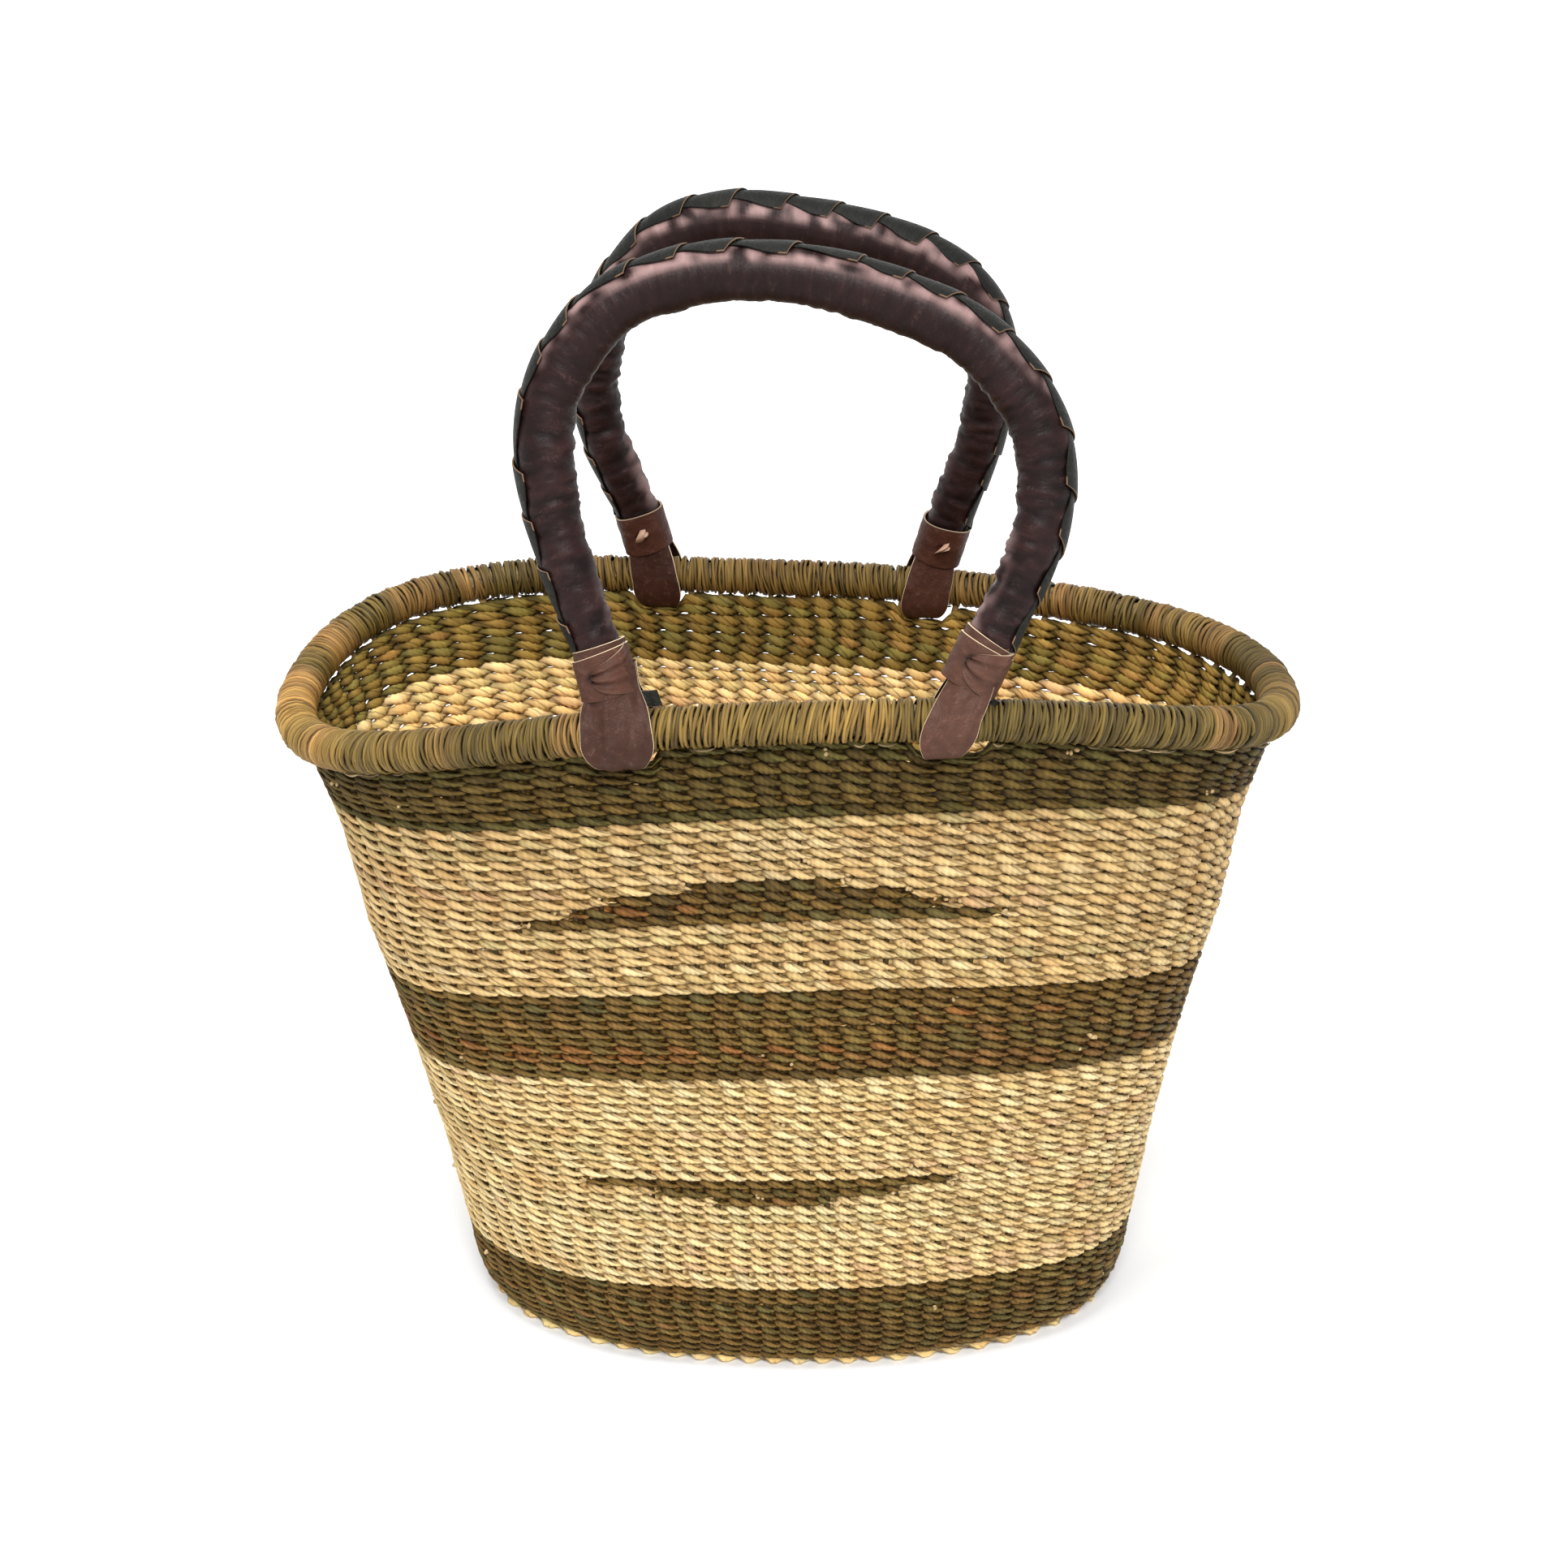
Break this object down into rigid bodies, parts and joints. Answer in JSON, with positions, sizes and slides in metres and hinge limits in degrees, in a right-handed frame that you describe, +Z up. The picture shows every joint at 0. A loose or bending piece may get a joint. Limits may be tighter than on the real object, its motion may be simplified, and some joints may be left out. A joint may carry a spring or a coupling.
{
  "type": "woven market basket",
  "caption": "Tall oval-topped woven grass basket with a bound rim and two leather-covered handles that swing on leather loops.",
  "frame": {"origin": "centre of the basket's footprint box, on the floor", "axes": "+X along the basket's long side, +Y from the front to the back, +Z up"},
  "size_m": [0.4792, 0.2629, 0.5326],
  "materials": {
    "natural_straw": "dry satin grass",
    "dyed_straw": "dry satin grass, dyed olive and brown",
    "stake_straw": "dry satin grass",
    "core_straw": "rough grass bundle",
    "rim_straw": "tightly wound satin grass",
    "handle_leather": "semi-gloss, creased",
    "lace_leather": "semi-gloss",
    "loop_leather": "satin grained",
    "cut_leather": "raw cut leather"
  },
  "bodies": {
    "basket": {"woven_base": "natural_straw", "base_edge_row": "natural_straw", "foot_band": "dyed_straw", "lower_straw_rows": "natural_straw", "lower_crescent_front": "dyed_straw", "lower_crescent_back": "dyed_straw", "mid_straw_rows": "natural_straw", "middle_band": "dyed_straw", "upper_straw_rows": "natural_straw", "upper_crescent_front": "dyed_straw", "upper_crescent_back": "dyed_straw", "high_straw_rows": "natural_straw", "top_band": "dyed_straw", "stakes": "stake_straw", "rim_core": "core_straw", "rim_binding_front": "rim_straw", "rim_binding_back": "rim_straw"},
    "front_handle": {"front_rope": "core_straw", "front_sleeve": "handle_leather", "front_lacing": "lace_leather", "front_left_loop": "loop_leather", "front_right_loop": "loop_leather", "front_left_cuff": "loop_leather", "front_right_cuff": "loop_leather", "front_left_strap_tail": "cut_leather", "front_right_strap_tail": "cut_leather", "front_lace_ends": "lace_leather"},
    "back_handle": {"back_rope": "core_straw", "back_sleeve": "handle_leather", "back_lacing": "lace_leather", "back_left_loop": "loop_leather", "back_right_loop": "loop_leather", "back_left_cuff": "loop_leather", "back_right_cuff": "loop_leather", "back_left_strap_tail": "cut_leather", "back_right_strap_tail": "cut_leather", "back_lace_ends": "lace_leather"}
  },
  "joints": [
    {"name": "front_handle_swing", "type": "hinge", "parent": "basket", "child": "front_handle", "pos_m": [0.0075, -0.11621, 0.33008], "axis": [0.9996, 0.0103, 0.0274], "range_deg": [-20, 110]},
    {"name": "back_handle_swing", "type": "hinge", "parent": "basket", "child": "back_handle", "pos_m": [-0.002, 0.11641, 0.33189], "axis": [0.9985, 0.0027, -0.0548], "range_deg": [-110, 20]}
  ]
}
